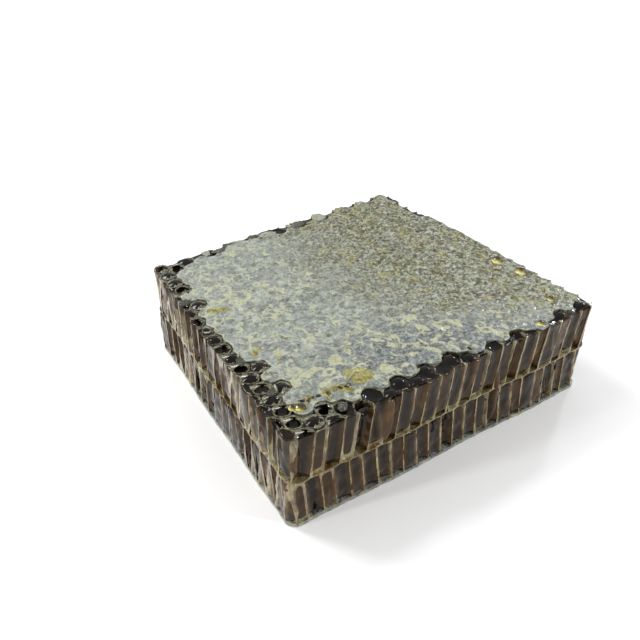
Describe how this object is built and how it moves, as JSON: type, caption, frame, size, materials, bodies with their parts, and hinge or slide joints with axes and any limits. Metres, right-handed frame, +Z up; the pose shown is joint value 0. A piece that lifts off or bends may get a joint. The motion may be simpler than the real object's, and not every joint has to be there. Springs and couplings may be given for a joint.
{
  "type": "honeycomb piece",
  "caption": "Piece of capped honeycomb lying flat: wax cappings above and below, knife-cut sides and a ragged margin of open cells that show dark honey.",
  "frame": {"origin": "under the middle of the piece's bounding box, on the surface that it lies on", "axes": "+Z up through the cappings, +Y along the straight rows of touching cells, +X along the longer side"},
  "size_m": [0.108, 0.0958, 0.0323],
  "materials": {
    "wax": "wet beeswax capping, grey-white with cream patches",
    "honey": "dark amber honey, glossy"
  },
  "bodies": {
    "root": {"comb_wax": "wax", "honey_upper": "honey", "honey_under": "honey"}
  },
  "joints": []
}
